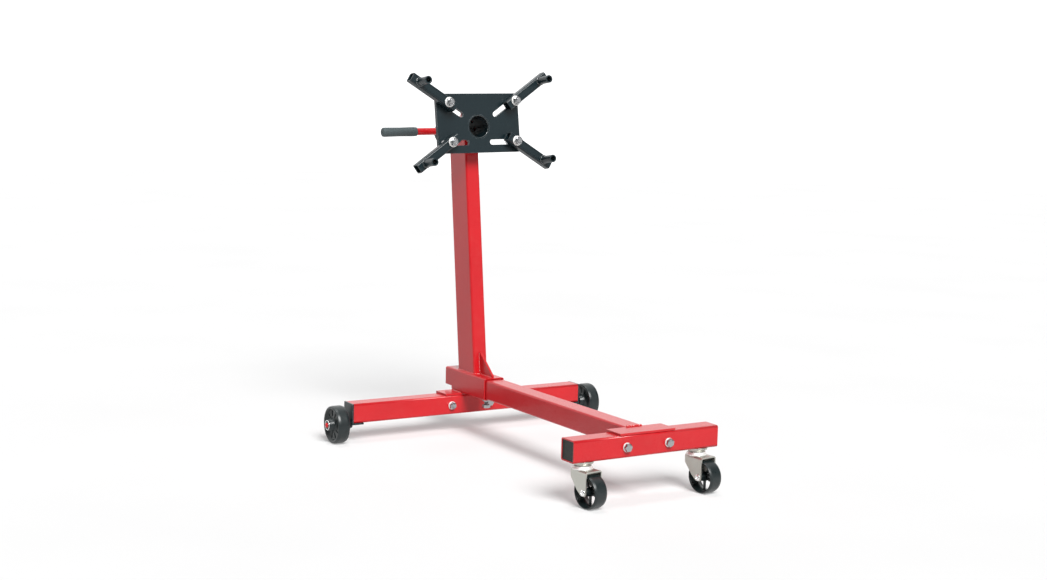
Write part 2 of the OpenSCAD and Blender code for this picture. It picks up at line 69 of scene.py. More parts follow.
Size = namedtuple("Size", "radius pitch head")
M12 = Size(6 * mm, 1.75 * mm, 8 * mm)
M10 = Size(5 * mm, 1.5 * mm, 7 * mm)


# ---- Places, read from the frame ----

def place_at(origin, z, x=X_AXIS):
    """A matrix whose Z runs along z, whose X is as near x as it can be, and whose origin is origin."""
    z = Vector(z).normalized()
    x = (Vector(x) - z * z.dot(Vector(x))).normalized()
    made = Matrix((x, z.cross(x), z)).transposed().to_4x4()
    made.translation = Vector(origin)
    return made


def span(node, place=Matrix.Identity(4), keep=lambda p: True):
    """Lowest and highest corner of a CAD node in a local frame, of the vertices that keep says."""
    inverse = place.inverted()
    points = [inverse @ v.co for v in frame["nodes"][node].data.vertices if keep(v.co)]
    low = Vector([min(p[i] for p in points) for i in range(3)])
    high = Vector([max(p[i] for p in points) for i in range(3)])
    return low, high


def quarters(node):
    """The boxes of the four solids of a node that has one at each bracket bolt."""
    low, high = span(node)
    middle = (low.y + high.y) / 2
    return [
        span(node, keep=lambda p: (p.x > 0) == right and (p.y > middle) == back)
        for right in (False, True)
        for back in (False, True)
    ]


def halves(node):
    """The boxes of the left and the right solid of a node that has one on each side."""
    return [span(node, keep=lambda p: (p.x > 0) == right) for right in (False, True)]


HEAD_AXIS = Vector(JOINTS["head_turn"]["axis"])
SLEEVE = place_at(JOINTS["head_turn"]["pos_m"], HEAD_AXIS)
PLATE_X = Vector(JOINTS["slot_slide_lower_right"]["axis"])
PLATE = place_at(JOINTS["head_turn"]["pos_m"], HEAD_AXIS, PLATE_X)


# ---- Outlines and mesh shapes ----

def polar(radius, turn, height=0.0):
    return Vector((radius * math.cos(turn), radius * math.sin(turn), height))


def mirrored(profile):
    """A profile of (radius, height, fillet) and its mirror image across height 0, as one outline."""
    return profile + [(radius, -height, fillet) for radius, height, fillet in reversed(profile)]


def filleted(corners, steps=6, closed=True):
    """The points of an outline of corners (x, y, radius), with each corner rounded off by an arc."""
    points = []
    for i, (x, y, radius) in enumerate(corners):
        corner = Vector((x, y))
        if not radius or (not closed and i in (0, len(corners) - 1)):
            points.append(corner)
            continue
        back = Vector(corners[i - 1][:2]) - corner
        ahead = Vector(corners[(i + 1) % len(corners)][:2]) - corner
        half = back.angle(ahead) / 2
        cut = min(radius / math.tan(half), back.length * 0.5, ahead.length * 0.5)
        centre = corner + (back.normalized() + ahead.normalized()).normalized() * cut / math.cos(half)
        first = corner + back.normalized() * cut - centre
        last = corner + ahead.normalized() * cut - centre
        turn = math.atan2(first.x * last.y - first.y * last.x, first.dot(last))
        for step in range(steps + 1):
            points.append(centre + Matrix.Rotation(turn * step / steps, 2) @ first)
    return points


def skin(bm, rings, closed=False, capped=True):
    """Joins rings of points into a surface: closed in a loop, or open, with or without flat ends."""
    verts = [[bm.verts.new(p) for p in ring] for ring in rings]
    count = len(verts[0])
    for i in range(len(verts) if closed else len(verts) - 1):
        here, there = verts[i], verts[(i + 1) % len(verts)]
        for k in range(count):
            n = (k + 1) % count
            bm.faces.new((here[k], here[n], there[n], there[k]))
    if capped and not closed:
        bm.faces.new(list(reversed(verts[0])))
        bm.faces.new(verts[-1])


def lathe(bm, profile, place, steps=96):
    """Turns a closed profile of (radius, height) about the Z of place."""
    rings = []
    for i in range(steps):
        turn = Matrix.Rotation(2 * math.pi * i / steps, 4, "Z")
        rings.append([place @ turn @ Vector((p[0], 0, p[1])) for p in profile])
    skin(bm, rings, closed=True)


def prism(bm, outline, low, high, place):
    """A plate between two heights of place, with the outline in its X and Y."""
    skin(bm, [[place @ Vector((p[0], p[1], h)) for p in outline] for h in (low, high)])


def rounded_square(width, radius):
    w = width / 2
    return filleted([(w, -w, radius), (w, w, radius), (-w, w, radius), (-w, -w, radius)])


def hexagon_rings(across, height, place, bore=0.0, both=False):
    """Rings of a hexagon head or nut whose corners are turned down by a cone, on one end or on both."""
    steps, slope = 48, math.tan(math.radians(28))
    flat = across / 2
    crown = 0.94 * flat
    inner = max(bore, CORE)
    lip = 0.6 * mm if bore else 0.0
    rings = []
    for i in range(steps):
        turn = 2 * math.pi * i / steps
        radius = flat / math.cos((turn % (math.pi / 3)) - math.pi / 6)
        drop = (radius - crown) * slope
        low_radius, low = (crown, drop) if both else (radius, 0.0)
        profile = [
            (inner, lip), (inner + lip, 0.0), (low_radius, 0.0), (radius, low),
            (radius, height - drop), (crown, height), (inner + lip, height), (inner, height - lip)
        ]
        rings.append([place @ polar(r, turn, h) for r, h in profile])
    return rings


def thread(bm, size, low, high, place, steps=28):
    """A screw thread along Z, with a chamfered tip at its high end."""
    depth, per_turn, taper, tip_slope = size.pitch / 2, 6, 1.4 * mm, 0.9
    rows = int((high - low) / size.pitch * per_turn)
    rings = []
    for j in range(rows + 1):
        h = low + (high - low) * j / rows
        tip = max(0.0, h - (high - taper)) * tip_slope
        ring = []
        for i in range(steps):
            phase = (h / size.pitch - i / steps) % 1
            groove = depth * (1 - abs(2 * phase - 1))
            ring.append(place @ polar(size.radius - max(groove, tip), 2 * math.pi * i / steps, h))
        rings.append(ring)
    skin(bm, rings)


def bead(bm, points, radius, closed=False, seed=0):
    """A weld bead along points: a rippled cord that lies in the corner of two pieces."""
    sides, ripple = 10, 2.6 * mm
    least, wave, unevenness, grain, tail = 0.82, 0.2, 0.16, 0.35, 0.35
    aside, offset = Vector((0.31, 0.52, 0.79)), Vector((seed, seed, seed))
    count = len(points)
    along, rings = 0.0, []
    for i, point in enumerate(points):
        back = points[i - 1] if closed or i else points[0]
        ahead = points[(i + 1) % count] if closed else points[min(i + 1, count - 1)]
        along += (point - back).length if i else 0.0
        across = (ahead - back).normalized()
        swell = least + wave * abs(math.sin(math.pi * along / ripple))
        swell += unevenness * noise.noise(point / mm * grain + offset)
        if not closed and i in (0, count - 1):
            swell *= tail
        local = place_at(point, across, aside)
        rings.append([local @ polar(radius * swell, 2 * math.pi * k / sides) for k in range(sides)])
    skin(bm, rings, closed=closed)


def line(start, end, pitch=0.9 * mm):
    """Points from start to end, close enough together for a weld's ripples."""
    start, end = Vector(start), Vector(end)
    count = max(3, int((end - start).length / pitch))
    return [start.lerp(end, i / count) for i in range(count + 1)]


def circle(place, radius, height=0.0, pitch=0.9 * mm):
    count = int(2 * math.pi * radius / pitch)
    return [place @ polar(radius, 2 * math.pi * i / count, height) for i in range(count)]


# ---- Materials ----

class Nodes:
    """Short names for the nodes of one material."""

    def __init__(self, name):
        self.material = bpy.data.materials.new(name)
        self.material.use_nodes = True
        self.tree = self.material.node_tree
        self.shader = self.tree.nodes["Principled BSDF"]
        self.place = self.add("ShaderNodeTexCoord").outputs["Object"]

    def add(self, kind, links=(), **values):
        node = self.tree.nodes.new(kind)
        for key, value in values.items():
            setattr(node, key, value)
        for socket, source in dict(links).items():
            self.join(source, node.inputs[socket])
        return node

    def join(self, source, socket):
        if isinstance(source, bpy.types.NodeSocket):
            self.tree.links.new(source, socket)
        else:
            socket.default_value = source

    def noise(self, scale, detail=3.0, rough=0.5, stretch=None):
        place = self.place
        if stretch:
            place = self.add("ShaderNodeMapping", {"Vector": place, "Scale": stretch}).outputs[0]
        links = {"Vector": place, "Scale": scale, "Detail": detail, "Roughness": rough}
        return self.add("ShaderNodeTexNoise", links).outputs["Fac"]

    def cells(self, scale):
        links = {"Vector": self.place, "Scale": scale}
        return self.add("ShaderNodeTexVoronoi", links).outputs["Distance"]

    def span(self, value, low, high, to_low=0.0, to_high=1.0):
        links = {0: value, 1: low, 2: high, 3: to_low, 4: to_high}
        return self.add("ShaderNodeMapRange", links).outputs[0]

    def math(self, operation, a, b):
        return self.add("ShaderNodeMath", {0: a, 1: b}, operation=operation).outputs[0]

    def mix(self, factor, a, b):
        links = {0: factor, 6: a, 7: b}
        return self.add("ShaderNodeMix", links, data_type="RGBA").outputs[2]

    def edges(self, radius):
        """A mask that is 1 on sharp edges: where the rounded normal leaves the true one."""
        soft = self.add("ShaderNodeBevel", {"Radius": radius}, samples=6).outputs[0]
        true = self.add("ShaderNodeNewGeometry").outputs["Normal"]
        near = self.add("ShaderNodeVectorMath", {0: soft, 1: true}, operation="DOT_PRODUCT")
        return self.span(near.outputs["Value"], 0.985, 0.86)

    def bump(self, height, strength, distance):
        links = {"Height": height, "Strength": strength, "Distance": distance}
        normal = self.add("ShaderNodeBump", links).outputs[0]
        self.join(normal, self.shader.inputs["Normal"])

    def set(self, **values):
        for key, value in values.items():
            self.join(value, self.shader.inputs[key.replace("_", " ")])


def paint(name, base, worn_and_highlit, rub_and_highlight_by, dust, rough, coat, ior, peel, bare_and_glint):
    """Enamel or powder coat: orange peel, a cloudy tone and dust, with a second colour on the edges that is partly
    wear and partly a painted highlight, and pale chips that are partly bare metal and partly painted glints.
    """
    n = Nodes(name)
    tone = n.span(n.noise(11.0, 4.0), 0.3, 0.7)
    deep = tuple(c * 0.9 for c in base[:3]) + (1,)
    colour = n.mix(tone, deep, base)
    edge = n.edges(0.9 * mm)
    broken = n.span(n.noise(420.0, 5.0, 0.7), 0.42, 0.62)
    # Edges take a second colour: real wear, and on the black parts a painted highlight along each edge.
    rub_and_highlight = n.math("MULTIPLY", edge, broken)
    colour = n.mix(n.math("MULTIPLY", rub_and_highlight, rub_and_highlight_by), colour, worn_and_highlit)
    settled = n.span(n.noise(46.0, 6.0, 0.65), 0.52, 0.8, 0.0, 0.16)
    colour = n.mix(settled, colour, dust)
    # Pale grey specks on edges: partly chipped paint, partly painted glints, strongest on the black welds.
    chip_and_glint = n.math("MULTIPLY", edge, n.span(n.noise(260.0, 3.0, 0.6), 0.68, 0.72))
    colour = n.mix(n.math("MULTIPLY", chip_and_glint, bare_and_glint), colour, (0.34, 0.34, 0.33, 1))
    fine = n.span(n.noise(900.0, 2.0), 0.3, 0.7, rough - 0.05, rough + 0.06)
    scuffs = n.span(n.noise(130.0, 4.0, 0.6, (1.0, 0.18, 1.0)), 0.6, 0.72, 0.0, 0.1)
    n.set(Base_Color=colour, Roughness=n.math("ADD", fine, scuffs))
    n.set(Coat_Weight=coat, Coat_Roughness=0.09, IOR=ior)
    waves = n.math("ADD", n.noise(330.0, 2.0), n.math("MULTIPLY", n.noise(1300.0, 2.0), 0.35))
    n.bump(waves, peel, 0.25 * mm)
    return n.material


def plated(name, base, tint, rough, grain, metal=0.95):
    """Zinc plate: a faint crystal spangle, warm and cool passivation tints and handling marks."""
    n = Nodes(name)
    spangle = n.span(n.cells(480.0), 0.1, 0.6)
    colour = n.mix(n.math("MULTIPLY", spangle, 0.25), base, tint)
    stain = n.span(n.noise(90.0, 5.0, 0.6), 0.5, 0.75, 0.0, 0.25)
    colour = n.mix(stain, colour, (0.50, 0.48, 0.43, 1))
    smudge = n.span(n.noise(60.0, 5.0), 0.35, 0.7, rough - 0.05, rough + 0.07)
    n.set(Base_Color=colour, Metallic=metal, Roughness=smudge)
    n.bump(n.math("ADD", n.noise(grain, 4.0, 0.7), n.math("MULTIPLY", spangle, 0.3)), 0.1, 0.05 * mm)
    return n.material


def moulded(name, base, pale, rough, grain, strength, distance):
    """Moulded plastic or rubber: flow marks, a fine grain and paler, slightly chalky edges."""
    n = Nodes(name)
    flow = n.span(n.noise(38.0, 5.0, 0.55), 0.35, 0.7, 0.0, 0.5)
    colour = n.mix(flow, base, pale)
    edge = n.math("MULTIPLY", n.edges(1.1 * mm), n.span(n.noise(300.0, 4.0), 0.4, 0.65, 0.0, 0.5))
    colour = n.mix(edge, colour, tuple(c * 2.4 for c in pale[:3]) + (1,))
    n.set(Base_Color=colour, IOR=1.48)
    n.set(Roughness=n.span(n.noise(240.0, 3.0), 0.3, 0.7, rough - 0.06, rough + 0.08))
    pits = n.math("MULTIPLY", n.cells(grain * 0.8), 0.5)
    n.bump(n.math("ADD", n.noise(grain, 3.0, 0.6), pits), strength, distance)
    return n.material


RED = paint(
    "red_enamel", base=(0.52, 0.009, 0.014, 1), worn_and_highlit=(0.45, 0.05, 0.045, 1), rub_and_highlight_by=0.55,
    dust=(0.51, 0.09, 0.075, 1), rough=0.3, coat=0.12, ior=1.42, peel=0.16, bare_and_glint=0.25
)
# Its pale edge colour is partly a painted highlight along the edges of the arms and plate.
BLACK = paint(
    "black_powder_coat", base=(0.005, 0.014, 0.018, 1), worn_and_highlit=(0.42, 0.45, 0.46, 1), rub_and_highlight_by=0.8,
    dust=(0.026, 0.038, 0.042, 1), rough=0.32, coat=0.05, ior=1.4, peel=0.3, bare_and_glint=0.8
)
WELD_RED = paint(
    "red_weld", base=(0.53, 0.016, 0.02, 1), worn_and_highlit=(0.7, 0.1, 0.09, 1), rub_and_highlight_by=0.55,
    dust=(0.6, 0.2, 0.17, 1), rough=0.24, coat=0.5, ior=1.5, peel=0.35, bare_and_glint=0.1
)
# Its pale edge colour and pale specks are partly painted glints along the bead.
WELD_BLACK = paint(
    "black_weld", base=(0.022, 0.031, 0.033, 1), worn_and_highlit=(0.5, 0.52, 0.52, 1), rub_and_highlight_by=0.8,
    dust=(0.12, 0.13, 0.13, 1), rough=0.2, coat=0.9, ior=1.5, peel=0.4, bare_and_glint=1.0
)
ZINC = plated(
    "zinc_plate", base=(0.86, 0.86, 0.85, 1), tint=(0.72, 0.73, 0.75, 1), rough=0.2, grain=700.0
)
# A darker copy of the zinc plate: painted shade that sets the nuts and bolts apart from their washers.
DARKENED_ZINC = plated(
    "zinc_fastener_painted_shade", base=(0.40, 0.41, 0.42, 1), tint=(0.30, 0.31, 0.325, 1), rough=0.15, grain=700.0
)
PRESSED = plated(
    "zinc_pressing", base=(0.50, 0.50, 0.455, 1), tint=(0.42, 0.42, 0.39, 1), rough=0.38, grain=420.0
)
# A paler, half-matt copy of the zinc plate: painted light that keeps the washers and races white.
WHITENED_ZINC = plated(
    "zinc_race_painted_light", base=(0.86, 0.86, 0.84, 1), tint=(0.76, 0.76, 0.75, 1), rough=0.45, grain=420.0, metal=0.45
)
WHEEL = moulded(
    "wheel_plastic", base=(0.006, 0.011, 0.012, 1), pale=(0.012, 0.019, 0.020, 1), rough=0.33,
    grain=1500.0, strength=0.12, distance=0.12 * mm
)
RUBBER = moulded(
    "grip_rubber", base=(0.056, 0.078, 0.083, 1), pale=(0.075, 0.098, 0.103, 1), rough=0.62,
    grain=1100.0, strength=0.4, distance=0.2 * mm
)
PLUG = moulded(
    "plug_plastic", base=(0.008, 0.010, 0.008, 1), pale=(0.012, 0.014, 0.012, 1), rough=0.6,
    grain=900.0, strength=0.2, distance=0.15 * mm
)


# ---- Making pieces ----

def smooth(mesh):
    for polygon in mesh.polygons:
        polygon.use_smooth = True
    mesh.set_sharp_from_angle(angle=SHARP)


def round_edges(piece, width):
    """Takes the sharpness off the edges of a piece."""
    bevel = piece.modifiers.new("edges", "BEVEL")
    bevel.width = width
    bevel.segments = 2
    bevel.limit_method = "ANGLE"
    bevel.angle_limit = SHARP
    bevel.use_clamp_overlap = True
    bevel.harden_normals = True


def piece_of(name, bm, body, material, replaced=(), edge=0.0):
    """A piece from a mesh: it rides on a body, takes a finish and stands for CAD nodes."""
    bmesh.ops.remove_doubles(bm, verts=bm.verts, dist=1e-7)
    bmesh.ops.recalc_face_normals(bm, faces=bm.faces)
    mesh = bpy.data.meshes.new(name)
    bm.to_mesh(mesh)
    bm.free()
    mesh.materials.append(material)
    smooth(mesh)
    piece = bpy.data.objects.new(name, mesh)
    bpy.context.scene.collection.objects.link(piece)
    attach(piece, body)
    if replaced:
        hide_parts(*replaced)
    if edge:
        round_edges(piece, edge)
    return piece


def finish_node(node, material, edge=0.0):
    """A CAD node that stays: a finish, rounded edges, and flat shading on its broad flat faces."""
    piece = frame["nodes"][node]
    piece.data.materials.clear()
    piece.data.materials.append(material)
    weld = piece.modifiers.new("join", "WELD")
    weld.merge_threshold = 0.005 * mm
    if edge:
        round_edges(piece, edge)
        weighted = piece.modifiers.new("normals", "WEIGHTED_NORMAL")
        weighted.keep_sharp = False
        weighted.weight = 100
    areas = {}
    ways = [tuple(round(c, 2) for c in polygon.normal) for polygon in piece.data.polygons]
    for way, polygon in zip(ways, piece.data.polygons):
        areas[way] = areas.get(way, 0.0) + polygon.area
    broad = 0.04 * sum(areas.values())
    for way, polygon in zip(ways, piece.data.polygons):
        polygon.use_smooth = areas[way] < broad


# ---- Fasteners ----

def across_flats(low, high):
    """The width of a hexagon from flat to flat, from a box that touches its corners in X."""
    return (high.x - low.x) * math.cos(math.pi / 6)


def add_bolt(bm, place, across, size, low, high, grip):
    """A bolt along Z: its head starts at low, and its shank runs to high and is threaded beyond grip."""
    seat = low + size.head
    head_place = place @ Matrix.Translation((0, 0, seat)) @ Matrix.Rotation(math.pi, 4, "X")
    skin(bm, hexagon_rings(across, size.head, head_place), closed=True)
    collar, collar_r = seat - 0.4 * mm, 0.47 * across
    lathe(bm, [(CORE, collar), (collar_r, collar), (collar_r, seat), (CORE, seat)], place, 48)
    lathe(bm, [(CORE, seat), (size.radius, seat), (size.radius, grip), (CORE, grip)], place, 40)
    thread(bm, size, grip, high, place)


def add_nut(bm, place, across, size, low, high):
    moved = place @ Matrix.Translation((0, 0, low))
    rings = hexagon_rings(across, high - low, moved, bore=size.radius + NUT_GAP, both=True)
    skin(bm, rings, closed=True)


def add_washer(bm, place, outer, inner, low, high):
    r = 0.5 * mm
    profile = [(inner, low, r), (outer, low, r), (outer, high, r), (inner, high, r)]
    lathe(bm, filleted(profile, 3), place, 72)


def fastener(name, bm, body, material, node, edge=0.0):
    return piece_of(name, bm, body, material, [node], edge)


def make_arm_fasteners(corner):
    """The bolt, washer and nut that clamp one arm to the plate."""
    slider = "slider_" + corner
    place = place_at(JOINTS["arm_pivot_" + corner]["pos_m"], HEAD_AXIS, PLATE_X)
    turned = place @ Matrix.Rotation(math.radians(NUT_TURNS[corner]), 4, "Z")
    low, high = span("arm_bolt_" + corner, place)
    nut_low, nut_high = span("arm_nut_" + corner, place)
    washer_low, washer_high = span("arm_washer_" + corner, place)
    across = across_flats(low, high)
    bm = bmesh.new()
    add_bolt(bm, turned, across, M12, low.z, high.z, nut_low.z - 3 * mm)
    fastener("bolt_" + corner, bm, slider, DARKENED_ZINC, "arm_bolt_" + corner)
    bm = bmesh.new()
    add_washer(bm, place, washer_high.x, M12.radius + HOLE_GAP, washer_low.z, washer_high.z)
    fastener("washer_" + corner, bm, slider, WHITENED_ZINC, "arm_washer_" + corner)
    bm = bmesh.new()
    add_nut(bm, turned, across, M12, nut_low.z, nut_high.z)
    fastener("nut_" + corner, bm, slider, DARKENED_ZINC, "arm_nut_" + corner, NUT_EDGE)


def make_beam_fasteners():
    """The four bolts of the brackets, each with its nut and two washers."""
    turn_step, thick, clearance = 0.35, 2.5 * mm, 0.4 * mm
    bolts, nuts, washers = bmesh.new(), bmesh.new(), bmesh.new()
    boxes = zip(quarters("beam_bolts"), quarters("beam_nuts"), quarters("beam_washers"))
    for index, ((low, high), (nut_low, nut_high), (ring_low, ring_high)) in enumerate(boxes):
        middle = (low + high) / 2
        place = place_at((middle.x, 0, middle.z), (0, 1, 0)) @ Matrix.Rotation(turn_step * index, 4, "Z")
        across = across_flats(low, high)
        add_bolt(bolts, place, across, M10, low.y, high.y, nut_low.y - 2 * mm)
        add_nut(nuts, place, across, M10, nut_low.y, nut_high.y)
        outer = (ring_high.x - ring_low.x) / 2
        for start in (ring_low.y, ring_high.y - thick):
            add_washer(washers, place, outer, M10.radius + clearance, start, start + thick)
    fastener("bracket_bolts", bolts, "frame", DARKENED_ZINC, "beam_bolts")
    fastener("bracket_nuts", nuts, "frame", DARKENED_ZINC, "beam_nuts", NUT_EDGE)
    fastener("bracket_washers", washers, "frame", WHITENED_ZINC, "beam_washers")


def make_clamp():
    """The clamp bolt under the mast foot, and the nut welded to the foot."""
    low, high = span("clamp_bolt")
    nut_low, nut_high = span("clamp_nut")
    middle = (low + high) / 2
    place = place_at((middle.x, middle.y, 0), Z_AXIS) @ Matrix.Rotation(0.5, 4, "Z")
    across = across_flats(low, high)
    bm = bmesh.new()
    add_bolt(bm, place, across, M12, low.z, high.z, low.z + M12.head + 0.2 * mm)
    fastener("clamp_screw", bm, "frame", DARKENED_ZINC, "clamp_bolt")
    bm = bmesh.new()
    add_nut(bm, place, across, M12, nut_low.z, nut_high.z)
    fastener("clamp_weld_nut", bm, "frame", DARKENED_ZINC, "clamp_nut", NUT_EDGE)


# ---- Welds ----

def make_base_welds():
    """The beads round the mast's foot, along the gusset, and beside the brackets."""
    foot_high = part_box("mast_foot")[1]
    mast_low, mast_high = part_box("mast")
    gusset_low, gusset_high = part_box("mast_gusset")
    leg_low, leg_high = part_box("centre_leg")
    bracket_low, bracket_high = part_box("rear_bracket")
    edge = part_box("front_bracket")[1].y
    top, half = foot_high.z, (mast_high.x - mast_low.x) / 2
    front, back = (end.y for end in span("mast", keep=lambda p: p.z < top + 1 * mm))
    r = 5 * mm
    outline = filleted([(half, front, r), (half, back, r), (-half, back, r), (-half, front, r)])
    path = []
    for i, point in enumerate(outline):
        after = outline[(i + 1) % len(outline)]
        path += line((point.x, point.y, top), (after.x, after.y, top))[:-1]
    bm = bmesh.new()
    bead(bm, path, 2.6 * mm, closed=True, seed=1)
    for side in (-1, 1):
        x = side * (gusset_high.x - gusset_low.x) / 2
        bead(bm, line((x, gusset_low.y + 2 * mm, top), (x, gusset_high.y - 6 * mm, top)), 2.2 * mm, seed=2)
        peak = (x, gusset_high.y, gusset_high.z - 2 * mm)
        bead(bm, line((x, front, top + 3 * mm), peak), 2.2 * mm, seed=3)
    for side in (-1, 1):
        x, z = side * foot_high.x, bracket_high.z
        bead(bm, line((x, bracket_low.y + 4 * mm, z), (x, bracket_high.y - 4 * mm, z)), 2.4 * mm, seed=4)
        x = side * leg_high.x
        bead(bm, line((x, edge, leg_low.z + 5 * mm), (x, edge, leg_high.z - 5 * mm)), 2.4 * mm, seed=5)
    x = leg_high.x - 4 * mm
    bead(bm, line((-x, edge, leg_high.z), (x, edge, leg_high.z)), 2.4 * mm, seed=6)
    piece_of("base_welds", bm, "frame", WELD_RED)


def make_sleeve_welds():
    """The beads between the mast and the head sleeve, and round the lock pin's boss."""
    radius = span("head_sleeve", SLEEVE)[1].x
    mast_low, mast_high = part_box("mast")
    half, middle = (mast_high.x - mast_low.x) / 2, (mast_low.z + mast_high.z) / 2
    rear, ahead = (end.z for end in span("mast", SLEEVE, keep=lambda p: p.z > middle))

    def below(across, depth):
        return SLEEVE @ Vector((across, -math.sqrt(radius ** 2 - across ** 2), depth))

    bm = bmesh.new()
    for side in (-1, 1):
        seam = line(below(side * half, rear + 5 * mm), below(side * half, ahead - 5 * mm))
        bead(bm, seam, 2.6 * mm, seed=7)
    steps, reach = 47, 0.86 * half
    for depth in (rear, ahead):
        arc = [below(reach * (2 * i / steps - 1), depth) for i in range(steps + 1)]
        bead(bm, arc, 2.4 * mm, seed=8)
    boss_low, boss_high = span("pin_boss", SLEEVE)
    boss = place_at(SLEEVE @ Vector((0, 0, (boss_low.z + boss_high.z) / 2)), SLEEVE.col[1].xyz)
    steps, ring = 72, []
    for i in range(steps):
        around = polar(boss_high.x, -2 * math.pi * i / steps)
        around.z = math.sqrt(radius ** 2 - around.x ** 2)
        ring.append(boss @ around)
    bead(bm, ring, 1.8 * mm, closed=True, seed=9)
    piece_of("sleeve_welds", bm, "frame", WELD_RED)


def make_plate_welds():
    """The beads that join the head tube to the plate: one in the tube's mouth, and one behind the plate."""
    tube_radius = span("head_tube", PLATE)[1].x
    plate_back = span("mounting_plate", PLATE)[0].z
    bm = bmesh.new()
    bead(bm, circle(PLATE, tube_radius - 2.6 * mm, -1.9 * mm), 1.5 * mm, closed=True, seed=10)
    bead(bm, circle(PLATE, tube_radius + 1.2 * mm, plate_back - 0.4 * mm), 2 * mm, closed=True, seed=11)
    piece_of("plate_welds", bm, "head", WELD_BLACK)


def make_finger_weld(corner):
    """The bead that joins a finger sleeve to its arm."""
    finger = place_at(MOUNTS["finger_bore_" + corner]["pos_m"], HEAD_AXIS)
    low, high = span("finger_" + corner, finger)
    bm = bmesh.new()
    bead(bm, circle(finger, high.x + 0.5 * mm, low.z + 0.4 * mm), 1.9 * mm, closed=True, seed=12)
    piece_of("finger_weld_" + corner, bm, "arm_" + corner, WELD_BLACK)


# ---- Wheels ----

def make_rear_wheel(side):
    """A rear wheel: a rounded tread, closed dished faces with ten low ribs, and a hub that stands proud."""
    joint = JOINTS["rear_wheel_spin_" + side]
    outward = -1 if side == "left" else 1
    place = place_at(joint["pos_m"], (outward, 0, 0), Z_AXIS)
    high = span("rear_wheel_" + side, place)[1]
    radius, end = high.x, -high.z
    hub, tread, web, bore = 15 * mm, 16 * mm, 8.5 * mm, M12.radius + HOLE_GAP
    lip = radius - 6 * mm
    edge = [
        (bore, end + 3 * mm, 0),
        (hub - 3.6 * mm, end + 3 * mm, 0.6 * mm),
        (hub - 3.6 * mm, end, 0.5 * mm),
        (hub - 1.6 * mm, end, 1.2 * mm),
        (hub + 2.5 * mm, -tread + 3 * mm, 5 * mm),
        (hub + 7 * mm, -web - 1 * mm, 4 * mm),
        (lip - 5 * mm, -web, 4 * mm),
        (lip - 1.5 * mm, -tread + 1 * mm, 2 * mm),
        (lip + 1.5 * mm, -tread, 1.2 * mm),
        (radius - 1.4 * mm, -tread + 0.4 * mm, 4 * mm),
        (radius, -tread + 7 * mm, 9 * mm)
    ]
    bm = bmesh.new()
    lathe(bm, filleted(mirrored(edge), 5), place, 128)
    ribs, rib_half = 10, 0.9 * mm
    near, far = hub + 1 * mm, lip - 3 * mm
    inner, outer = tread - 4.5 * mm, web + 1.6 * mm
    for index in range(ribs):
        turn = Matrix.Rotation(2 * math.pi * (index + 0.5) / ribs, 4, "Z")
        across = place @ turn @ Matrix.Rotation(math.pi / 2, 4, "X")
        prism(bm, [(near, -inner), (far, -outer), (far, outer), (near, inner)], -rib_half, rib_half, across)
    name = "rear_wheel_" + side
    piece_of("wheel_rear_" + side, bm, name, WHEEL, [name])

    ring_low, ring_high = span("hub_ring_" + side, place)
    inner, outer = ring_high.x - 1.9 * mm, ring_high.x - 0.3 * mm
    back_r, front_r = 0.2 * mm, 0.7 * mm
    band = [
        (inner, ring_low.z, back_r), (outer, ring_low.z, back_r),
        (outer, ring_high.z, front_r), (inner, ring_high.z, front_r)
    ]
    bm = bmesh.new()
    lathe(bm, filleted(band, 4), place, 96)
    piece_of("hub_cap_ring_" + side, bm, name, ZINC, ["hub_ring_" + side])


def make_caster_wheel(side):
    """A caster wheel: a crowned tread, dished faces, a thin web cut by five windows, and a hub."""
    name = "caster_wheel_" + side
    joint = JOINTS["caster_spin_" + side]
    place = place_at(joint["pos_m"], joint["axis"], Z_AXIS)
    high = span(name, place)[1]
    radius, end = high.x, -high.z
    bore, hub, web = CASTER_PIN + HOLE_GAP, 10.5 * mm, 1.8 * mm
    rim = radius - 7.5 * mm
    bm = bmesh.new()
    tread = [
        (rim - 1.2 * mm, -web, 1 * mm),
        (rim, end * 0.26, 1.5 * mm),
        (radius - 3.5 * mm, end + 1.2 * mm, 2 * mm),
        (radius - 1.8 * mm, end + 1 * mm, 3 * mm),
        (radius, end + 7 * mm, 9 * mm)
    ]
    lathe(bm, filleted(mirrored(tread), 5), place, 112)
    barrel = [(bore, end, 0.5 * mm), (hub - 3 * mm, end, 1.2 * mm), (hub, -web, 2 * mm)]
    lathe(bm, filleted(mirrored(barrel), 4), place, 64)
    bars, near, at_hub, at_rim = 5, hub - 2 * mm, 3.4 * mm, 2.4 * mm
    for index in range(bars):
        turn = Matrix.Rotation(math.pi + 2 * math.pi * index / bars, 4, "Z")
        prism(bm, [(near, -at_hub), (rim, -at_rim), (rim, at_rim), (near, at_hub)], -web, web, place @ turn)
    piece_of("wheel_caster_" + side, bm, name, WHEEL, [name], 0.5 * mm)


